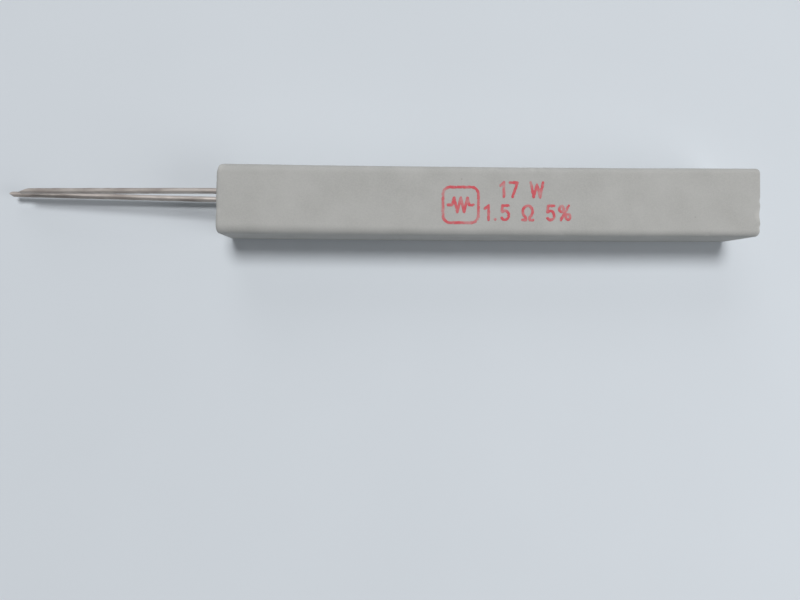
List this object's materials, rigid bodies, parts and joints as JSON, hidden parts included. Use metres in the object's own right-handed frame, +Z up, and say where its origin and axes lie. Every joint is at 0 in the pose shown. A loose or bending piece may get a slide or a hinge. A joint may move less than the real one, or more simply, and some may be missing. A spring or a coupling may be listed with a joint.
{
  "type": "power resistor",
  "caption": "Long square-section ceramic-cased wirewound power resistor, cement filled, with its wire leads leaving one end for upright board mounting.",
  "frame": {"origin": "centre of the case's underside, the long face that it lies on", "axes": "+X along the case from the lead end to the closed end, +Z up out of the marked face, so the leads leave towards -X"},
  "size_m": [0.1064, 0.0094, 0.0095],
  "materials": {
    "steatite": "unglazed, fired, matt",
    "cement": "cast, gritty, matt",
    "glass_fibre": "bonded glass fibre, matt",
    "resistance_wire": "drawn copper-nickel, satin",
    "cap_steel": "drawn, nickel plated, satin",
    "tinned_copper": "hot tinned, dull with age"
  },
  "bodies": {
    "root": {"ceramic_case": "steatite", "cement_fill": "cement", "winding_core": "glass_fibre", "resistance_winding": "resistance_wire", "near_end_cap": "cap_steel", "far_end_cap": "cap_steel", "upper_lead": "tinned_copper", "lower_lead": "tinned_copper"}
  },
  "joints": []
}
